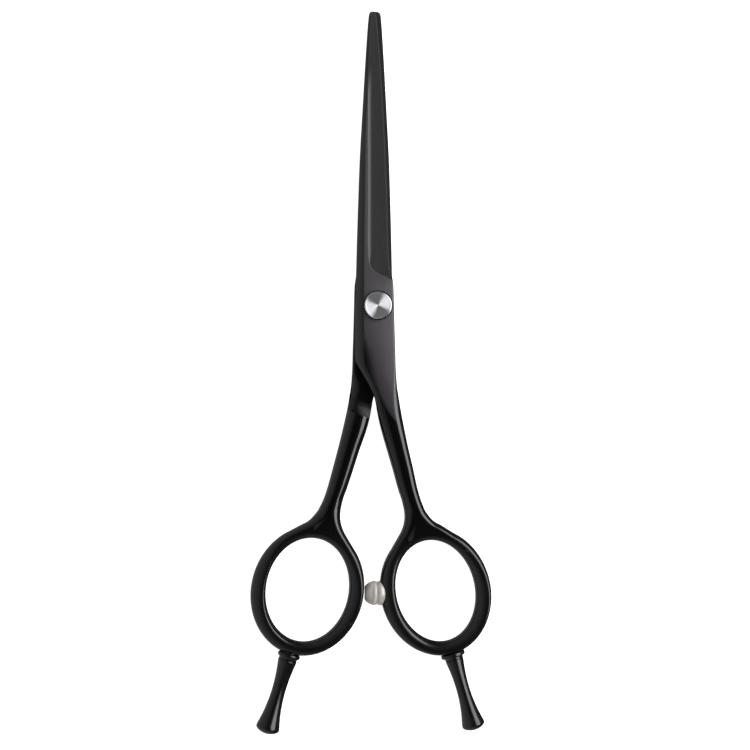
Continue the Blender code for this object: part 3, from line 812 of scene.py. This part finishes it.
def rest_coating():
    """Semi-gloss black on turned metal."""
    made = Nodes(bpy.data.materials.new("rest_coating"))
    speck = made.noise(3000, 3.0, 0.6)
    cloud = made.noise(220, 3.0, 0.5)
    wear = made.edges(0.56, 0.68)
    colour = made.blend(cloud, (0.0018, 0.0018, 0.0019), (0.0030, 0.0030, 0.0032))
    made.set(Base_Color=made.blend(made.math("MULTIPLY", wear, 0.4), colour, (0.03, 0.03, 0.031)))
    made.set(Roughness=made.spread(cloud, 0.17, 0.22))
    made.shader.inputs["IOR"].default_value = 1.5
    made.bump(speck, 0.12)
    return made.owner


def spun_steel():
    """Bright steel with fine rings left by the lathe."""
    made = Nodes(bpy.data.materials.new("spun_steel"))
    spread = made.noise(900, 4.0, 0.6)
    cloud = made.noise(260, 3.0, 0.5)
    made.set(Metallic=1.0)
    made.set(Base_Color=made.blend(cloud, (0.82, 0.82, 0.84), (0.90, 0.90, 0.91)))
    made.set(Roughness=made.spread(spread, 0.37, 0.41))
    made.shader.inputs["Anisotropic"].default_value = 1.0
    made.shader.inputs["Anisotropic Rotation"].default_value = 0.232
    tangent = made.node("ShaderNodeTangent", direction_type="RADIAL", axis="Z")
    made.join(tangent.outputs["Tangent"], made.shader.inputs["Tangent"])
    made.bump(spread, 0.02, 0.000002)
    return made.owner


def bare_steel():
    made = Nodes(bpy.data.materials.new("bare_steel"))
    spread = made.noise(1500, 4.0, 0.6)
    stain = made.noise(300, 3.0, 0.5)
    made.set(Metallic=1.0)
    made.set(Base_Color=made.blend(stain, (0.42, 0.42, 0.43), (0.56, 0.56, 0.57)))
    made.set(Roughness=made.spread(spread, 0.28, 0.40))
    made.bump(spread, 0.10)
    return made.owner


def dark_polymer():
    made = Nodes(bpy.data.materials.new("dark_polymer"))
    grain = made.noise(4200, 3.0, 0.6)
    cloud = made.noise(400, 2.0, 0.5)
    made.set(Base_Color=made.blend(cloud, (0.002, 0.002, 0.002), (0.004, 0.004, 0.004)))
    made.set(Roughness=made.spread(grain, 0.20, 0.28))
    made.bump(grain, 0.2)
    return made.owner


def clear_silicone():
    """Milky silicone, lit through a little."""
    made = Nodes(bpy.data.materials.new("clear_silicone"))
    cloud = made.noise(1500, 4.0, 0.65, (1.0, 0.14, 0.14))
    fine = made.noise(3500, 3.0, 0.6)
    streak = made.spread(cloud, 0.0, 1.0)
    made.set(Base_Color=made.blend(streak, (0.33, 0.31, 0.28), (0.66, 0.63, 0.59)))
    made.set(Roughness=made.spread(fine, 0.15, 0.21))
    made.set(Subsurface_Weight=0.8)
    made.shader.inputs["Subsurface Radius"].default_value = (0.9, 0.8, 0.7)
    made.shader.inputs["Subsurface Scale"].default_value = 0.0012
    made.shader.inputs["IOR"].default_value = 1.65
    made.bump(fine, 0.10)
    return made.owner


COATING = black_coating()
REST_COATING = rest_coating()
SPUN = spun_steel()
BARE = bare_steel()
POLYMER = dark_polymer()
SILICONE = clear_silicone()


# ---------------------------------------------------------------- pieces

SATIN_LEFT = [(-1.35, 70.0), (-1.9, 68.0), (-2.30, 60.4), (-2.50, 53.3), (-2.62, 47.8), (-2.86, 43.9),
              (-3.05, 34.4), (-3.18, 25.0), (-3.28, 12.0), (-3.36, 0.0), (-3.30, -7.0), (-2.53, -10.5),
              (-1.2, -16.4), (0.07, -19.9), (2.3, -24.7), (4.3, -27.5), (5.3, -28.8)]
SATIN_BLUR = [(-70.0, 0.12), (5.0, 0.14), (7.0, 0.7), (10.5, 1.9), (16.4, 2.1), (19.9, 1.0), (24.7, 0.5)]
satin_from = curve_through([-y for x, y in SATIN_LEFT], [x for x, y in SATIN_LEFT])
satin_blur = curve_through([y for y, _ in SATIN_BLUR], [blur for _, blur in SATIN_BLUR])
edge_x = curve_through([-row[1][1] for row in BLADE_ROWS[1:]], [row[1][0] for row in BLADE_ROWS[1:]])


def mark_finish_and_painted_light(data, turned_over):
    """Writes four layers on the points: satin with painted light, ground, bare edge, and worn by fingers.
    """
    points = np.empty(len(data.vertices) * 3)
    data.vertices.foreach_get("co", points)
    points = points.reshape(-1, 3) / MM
    normals = np.empty(len(data.vertices) * 3)
    data.vertices.foreach_get("normal", normals)
    normals = normals.reshape(-1, 3)
    x, y, z = points.T
    facing = normals[:, 2]
    if turned_over:
        x = 2 * mirror_line(y) - x
        z = 2 * MID_HEIGHT - z
        facing = -facing
    start = satin_from(-y)
    outside = (z > MID_HEIGHT + 0.05) & (y > -30.0)
    satin_and_painted_light = smooth(0.0, 1.0, (x - start) / satin_blur(-y) + 0.5) * smooth(0.55, 0.75, facing) * outside
    satin_and_painted_light *= smooth(0.15, -0.15, x - np.where(y < -17.3, 4.3 - 0.05 * (y + 17.3), 9.0))
    # Painted light: the satin colour is weakened towards the face's left side and is full towards its
    # right, a painted left-to-right brightening of the flat face.
    rise = np.clip((x - start) / 7.0, 0.0, 1.0) ** 0.8
    satin_and_painted_light *= mix(mix(0.38, 0.8, smooth(-16.0, 3.0, y)), 1.0, rise)
    # The inner ramp gets some satin colour, more towards +x and on faces turned towards +y: partly a
    # milled finish, partly painted light where the ramp is lit.
    up = (x - RAMP_FOOT[0]) * RAMP_UP[0] + (y - RAMP_FOOT[1]) * RAMP_UP[1]
    milled_and_painted_light = 0.7 * smooth(3.8, 0.0, up) * smooth(3.4, 0.4, x) * smooth(0.05, 0.25, normals[:, 1])
    satin_and_painted_light = np.maximum(satin_and_painted_light, milled_and_painted_light * (z < MID_HEIGHT - 0.05) * (y > -27.6) * (up > -0.1))
    ridge = [(at, along) for along, at in RIDGE]
    past_ridge = np.where(y > 5.0, distance_to(ridge, np.stack([x, y], 1)), -1.0)
    ground = smooth(-0.1, mix(0.15, 1.05, smooth(9.0, 13.0, y)), past_ridge) * outside
    ground = np.maximum(ground, smooth(47.0, 57.0, y) * (x > start) * outside)
    inner_face = (z < MID_HEIGHT + 0.3) * (z > MID_HEIGHT - 0.1) * (facing < -0.9)
    ground = np.maximum(ground, inner_face * (y > 7.0))
    polish = 1 - smooth(0.0, 0.2, np.abs(past_ridge - 0.10))
    satin_and_painted_light *= 1 - 0.7 * polish * smooth(60.0, 46.0, y) * outside
    bare = smooth(-0.22, -0.14, x - edge_x(-y)) * (y > 6.4) * (y < 69.0)
    bare *= (z > MID_HEIGHT + 0.04) * (z < MID_HEIGHT + 0.6)
    worn = smooth(-49.0, -58.0, y)
    for name, value in (("satin_and_painted_light", satin_and_painted_light), ("ground", ground), ("bare", bare), ("worn", worn)):
        layer = data.attributes.new(name, "FLOAT", "POINT")
        layer.data.foreach_set("value", value.astype(np.float32))


def add_half(name, turned_over, *shape):
    points, faces = half_mesh(turned_over, *shape)
    put = to_rear if turned_over else to_front
    return link(name, mesh_from(name, [put(point) for point in points], faces), COATING)


def add_front():
    piece = add_half("front_half_fine", False, FRONT_SHANK, FRONT_RING, FRONT_HOLE,
                     FRONT_INNER_FILLET, FRONT_OUTER_FILLET)
    recess = [(1.0, 0), (1.0, 2.93), (3.2, 2.93), (3.2, 1.83), (7.0, 1.83), (7.0, 0)]
    cut(piece, turned_mesh("tool", recess, 72, flats=(1.43, 3.2, 7.0)))
    return piece


def add_rear():
    piece = add_half("rear_half_fine", True, REAR_SHANK, REAR_RING, REAR_HOLE,
                     REAR_INNER_FILLET, REAR_OUTER_FILLET)
    seat = [(-1.0, 0), (-1.0, 3.25), (0.62, 3.25), (0.72, 3.1), (1.25, 3.1), (1.25, 2.23), (4.0, 2.23),
            (4.0, 0)]
    cut(piece, turned_mesh("tool", seat, 96))
    return piece


def add_head():
    """The pivot bolt: a spun head dished by fine rings, on a neck with two flats."""
    face = HEAD_TOP - 0.06
    profile = [(4.6, 0), (4.6, 0.87), (1.0, 0.87), (1.0, 1.4), (1.1, 1.5), (3.23, 1.5), (3.23, 1.8),
               (HEAD_BASE, 1.8), (HEAD_BASE, 3.10), (HEAD_BASE + 0.03, 3.16),
               (HEAD_BASE + 0.10, HEAD_RADIUS), (HEAD_TOP - 0.26, HEAD_RADIUS),
               (HEAD_TOP - 0.17, 3.18), (HEAD_TOP - 0.08, 3.12), (HEAD_TOP - 0.02, 3.02),
               (HEAD_TOP, 2.93), (HEAD_TOP - 0.01, 2.86), (face, 2.80)]
    pitch = 0.07
    radius = 2.76
    while radius > 0.1:
        profile.append((face + 0.0008, radius))
        profile.append((face - 0.0008, radius - pitch / 2))
        radius -= pitch
    profile.append((face - 0.03, 0))
    piece = turned_piece("pivot_head", profile, 144, SPUN, flats=(1.4, 3.23, HEAD_BASE), sharp=50)
    place(piece, "front_half", "pivot_bolt")


def add_washer_rings():
    """The pivot's washers and bush, each with its edges broken."""
    rings = [("head_washer", "front_half", POLYMER, "dark_polymer", 1.85, 3.46, 4.35, 5.26, 0.0),
             ("thrust_washer", "front_half", POLYMER, "dark_polymer", 1.53, 2.9, 2.80, 3.17, 0.0),
             ("pivot_bush", "rear_half", POLYMER, "dark_polymer", 1.53, 2.2, 1.25, 2.75, 0.0),
             ("spring_washer", "rear_half", BARE, "bare_steel", 1.56, 2.75, 0.78, 0.98, 0.2)]
    for node, body, finish, slot, inner, outer, low, high, dish in rings:
        soft = 0.05
        middle = [mix(outer - soft, inner + soft, step / 12) for step in range(13)]
        bow = [dish * math.sin(math.pi / 2 * step / 12) for step in range(13)]
        profile = [(low + soft, outer), (high - soft, outer)]
        profile += [(high + lift, radius) for lift, radius in zip(bow, middle)]
        profile += [(high - soft + dish, inner), (low + soft + dish, inner)]
        profile += [(low + lift, radius) for lift, radius in zip(bow[::-1], middle[::-1])]
        piece = turned_piece(node, profile, 96, finish)
        if node == "head_washer":
            cut(piece, front.data.copy())
        place(piece, body, node)


def threads(start, end, radius, pitch=0.35):
    """Profile of a cut thread along a shank, drawn as rings."""
    count = int(round((end - start) / pitch))
    found = []
    for turn in range(count):
        height = start + turn * (end - start) / count
        found += [(height + 0.2 * pitch, radius), (height + 0.4 * pitch, radius),
                  (height + 0.8 * pitch, radius - 0.09)]
    return found


def add_tension_screw():
    """Flat-headed screw under the rear half, with two key holes and a thread up into the bolt."""
    face = [(0.03 - 0.001 * (step % 2), 0.08 * step) for step in range(1, 34)]
    profile = [(0.03, 0)] + face + [(0.0, 2.70), (0.02, 2.80), (0.09, 2.87), (0.16, 2.9), (0.64, 2.9),
                                    (0.70, 2.87), (0.72, 2.8), (0.72, 1.0), (0.80, 0.78)]
    profile += threads(0.85, 4.15, 0.84) + [(4.3, 0.68), (4.3, 0)]
    piece = turned_piece("tension_screw", profile, 96, BARE)
    for side in (-1, 1):
        hole = [(-0.4, 0), (-0.4, 0.56), (0.0, 0.52), (0.08, 0.42), (0.40, 0.42), (0.52, 0)]
        cut(piece, turned_mesh("tool", hole, 40, Matrix.Translation((side * 1.9 * MM, 0, 0))))
    place(piece, "tension_screw", "tension_screw")


def add_bumper():
    """Silicone stop: a dome, a shallow groove and a flange that sits on the front ring."""
    reach = BUMPER_SEAT - BUMPER_TIP
    sides = [(-1.4, 2.2), (-1.15, 2.5), (-0.75, 2.78), (-0.35, 2.91), (-0.05, 2.93), (0.12, 2.90),
             (0.28, 2.82), (0.45, 2.71), (0.60, 2.66), (0.76, 2.68), (0.95, 2.75), (1.15, 2.81),
             (1.45, 2.83), (1.9, 2.75), (2.5, 2.53), (3.0, 2.22), (3.4, 1.85), (reach, 1.45)]
    outline = curve_through([along for along, _ in sides], [radius for _, radius in sides])
    along = [mix(sides[0][0], reach, step / 70) for step in range(71)]
    profile = [(sides[0][0], 0)] + [(at, float(outline(at))) for at in along]
    profile += [(reach, 1.0), (reach, 0.5), (reach, 0)]
    matrix = axis_frame(BUMPER_PLACE, (-1, 0, 0)) @ Matrix.Diagonal((BUMPER_FLAT, 1, 1, 1))
    piece = turned_piece("bumper", profile, 96, SILICONE, matrix)
    cut(piece, front.data.copy())
    stem = [(-1.2, 0), (-1.2, STEM_RADIUS), (1.9, STEM_RADIUS), (2.0, STEM_RADIUS - 0.1), (2.0, 0)]
    stem_frame = axis_frame(BUMPER_PLACE, (1, 0, 0))
    cut(piece, turned_mesh("tool", stem, 48, stem_frame), "UNION")
    place(piece, "front_half", "bumper")


def rest_frame(foot, lean):
    direction = (math.sin(math.radians(lean)), -math.cos(math.radians(lean)), 0)
    return axis_frame((*foot, MID_HEIGHT), direction)


def add_finger_rest(side, body, half, lean, size):
    """A waisted rest with a domed end, its saddle washer and the threaded stud between them."""
    foot, length, girth, washer = size
    matrix = rest_frame(foot, lean)
    shares = [0.14, 0.226, 0.332, 0.452, 0.553, 0.653, 0.759, 0.854, 0.91, REST_DOME]
    radii = [2.06, 1.85, 1.69, 1.63, 1.69, 1.86, 2.14, 2.52, 2.76, REST_END]
    heights = [1.5] + [share * length for share in shares]
    outline = curve_through(heights, [2.22] + radii)
    bore = STEM_RADIUS + FIT
    profile = [(6.4, 0), (6.4, bore), (1.38, bore), (1.28, bore + 0.1), (1.28, 2.12 * girth),
               (1.31, 2.17 * girth), (1.38, 2.20 * girth)]
    for step in range(61):
        height = mix(1.5, REST_DOME * length, step / 60)
        profile.append((height, girth * float(outline(height))))
    for step in range(1, 17):
        turn = math.sin(math.pi / 2 * step / 16)
        share = max(0.0, 1 - turn ** 1.75) ** 0.55
        radius = REST_END * girth * share if step < 16 else 0
        profile.append((length * mix(REST_DOME, 1.0, turn), radius))
    name = "finger_rest_" + side
    piece = turned_piece(name, profile, 96, REST_COATING, matrix, sharp=50)
    place(piece, name, name)

    name = "rest_washer_" + side
    profile = [(-1.2, bore), (-1.2, 2.0), (-0.42, 2.02), (-0.36, 2.12), (-0.30, washer - 0.20),
               (-0.22, washer - 0.06), (-0.08, washer), (0.34, washer), (0.48, washer - 0.05),
               (0.58, washer - 0.16), (0.64, washer - 0.32), (0.68, 2.22), (0.76, 2.16), (1.20, 2.14),
               (1.23, 2.10), (1.23, bore)]
    piece = turned_piece(name, profile, 96, REST_COATING, matrix)
    cut(piece, half.data.copy())
    place(piece, body, name)

    name = "rest_stud_" + side
    profile = [(-1.7, 0), (-1.7, STEM_RADIUS)] + threads(-1.5, 6.0, STEM_RADIUS)
    profile += [(6.2, 0.9), (6.3, 0.8), (6.3, 0)]
    piece = turned_piece(name, profile, 64, BARE, matrix)
    place(piece, body, name)


def drill_stem_holes(half, matrix, depth):
    hole = [(-depth, 0), (-depth, STEM_RADIUS + FIT), (2.0, STEM_RADIUS + FIT), (2.0, 0)]
    cut(half, turned_mesh("tool", hole, 48, matrix))


front = add_front()
rear = add_rear()
mark_finish_and_painted_light(front.data, False)
mark_finish_and_painted_light(rear.data, True)
place(front, "front_half", "front_blade")
place(rear, "rear_half", "rear_blade")
add_head()
add_washer_rings()
add_tension_screw()
add_bumper()
add_finger_rest("right", "front_half", front, REST_LEAN, FRONT_REST)
add_finger_rest("left", "rear_half", rear, -REST_LEAN, REAR_REST)
drill_stem_holes(front, rest_frame(FRONT_REST[0], REST_LEAN), 1.9)
drill_stem_holes(rear, rest_frame(REAR_REST[0], -REST_LEAN), 1.9)
drill_stem_holes(front, axis_frame(BUMPER_PLACE, (-1, 0, 0)), 2.1)


# ---------------------------------------------------------------- studio
# Lengths here are metres, except the floor's
CENTRE = (-0.00076, -0.0164)    # the point of the shears under the camera
CAMERA_HEIGHT = 0.4922          # over the plane between the halves
LIGHT_AIM = Vector((0, -0.016, 0))
FLOOR_HALF = 1500
FLOOR_DROP = 0.00002            # under the shears' back


def add_floor():
    made = Nodes(bpy.data.materials.new("floor"))
    mottle = made.noise(30, 2.0, 0.5)
    made.set(Base_Color=made.blend(mottle, (0.90, 0.90, 0.90), (0.92, 0.92, 0.92)))
    made.set(Roughness=0.8)
    made.set(Emission_Color=(1.0, 1.0, 1.0))
    made.set(Emission_Strength=0.92)
    points = [(x * FLOOR_HALF, y * FLOOR_HALF, 0) for x, y in ((-1, -1), (1, -1), (1, 1), (-1, 1))]
    floor = link("floor", mesh_from("floor", points, [[0, 1, 2, 3]]), made.owner)
    floor.location.z = cad_box[0].z - FLOOR_DROP
    floor.visible_glossy = False


def add_softbox(name, tilt, azimuth, distance, size, radiance):
    """An area light seen from the shears at an angle off straight up, towards an azimuth from +X."""
    light = bpy.data.lights.new(name, "AREA")
    light.shape = "RECTANGLE"
    light.size, light.size_y = size
    light.energy = radiance * math.pi * size[0] * size[1]
    lamp = bpy.data.objects.new(name, light)
    bpy.context.scene.collection.objects.link(lamp)
    tilt, azimuth = math.radians(tilt), math.radians(azimuth)
    level = math.sin(tilt)
    towards = Vector((level * math.cos(azimuth), level * math.sin(azimuth), math.cos(tilt)))
    lamp.location = towards * distance + LIGHT_AIM
    lamp.rotation_euler = towards.to_track_quat("Z", "Y").to_euler()


def add_world():
    """Grey studio walls: lighter on the left, dark overhead where the camera hangs."""
    made = Nodes(bpy.data.worlds.new("studio"))
    turn = made.node("ShaderNodeVectorRotate", rotation_type="Z_AXIS")
    turn.inputs["Angle"].default_value = math.radians(-12)
    made.join(made.place["Generated"], turn.inputs["Vector"])
    split = made.node("ShaderNodeSeparateXYZ")
    made.join(turn.outputs["Vector"], split.inputs["Vector"])
    across, along = split.outputs["X"], made.math("MULTIPLY", split.outputs["Y"], 0.6)
    squares = made.math("ADD", made.math("MULTIPLY", across, across), made.math("MULTIPLY", along, along))
    away = made.math("SQRT", squares, 0.0)
    ramp = made.node("ShaderNodeValToRGB")
    made.join(away, ramp.inputs["Fac"])
    stops = [(0.0, 0.03), (0.10, 0.04), (0.30, 0.25), (0.60, 0.45), (1.0, 0.62)]
    for position, value in stops[1:-1]:
        ramp.color_ramp.elements.new(position)
    for element, (position, value) in zip(ramp.color_ramp.elements, stops):
        element.position = position
        element.color = (value, value, value, 1.0)
    side = made.range(across, -0.1, 0.35, 1.0, 0.18)
    background = made.tree.nodes["Background"]
    made.join(ramp.outputs["Color"], background.inputs["Color"])
    made.join(side, background.inputs["Strength"])
    bpy.context.scene.world = made.owner


def add_camera():
    data = bpy.data.cameras.new("camera")
    data.lens = 100
    data.sensor_width = 36
    data.clip_start = 0.01
    camera = bpy.data.objects.new("camera", data)
    bpy.context.scene.collection.objects.link(camera)
    camera.location = (*CENTRE, CAMERA_HEIGHT + MID_HEIGHT * MM)
    bpy.context.scene.camera = camera


add_floor()
add_softbox("softbox", tilt=53, azimuth=15, distance=0.8, size=(1.05, 0.62), radiance=5.0)
add_world()
add_camera()
bpy.context.scene.view_settings.view_transform = "Standard"
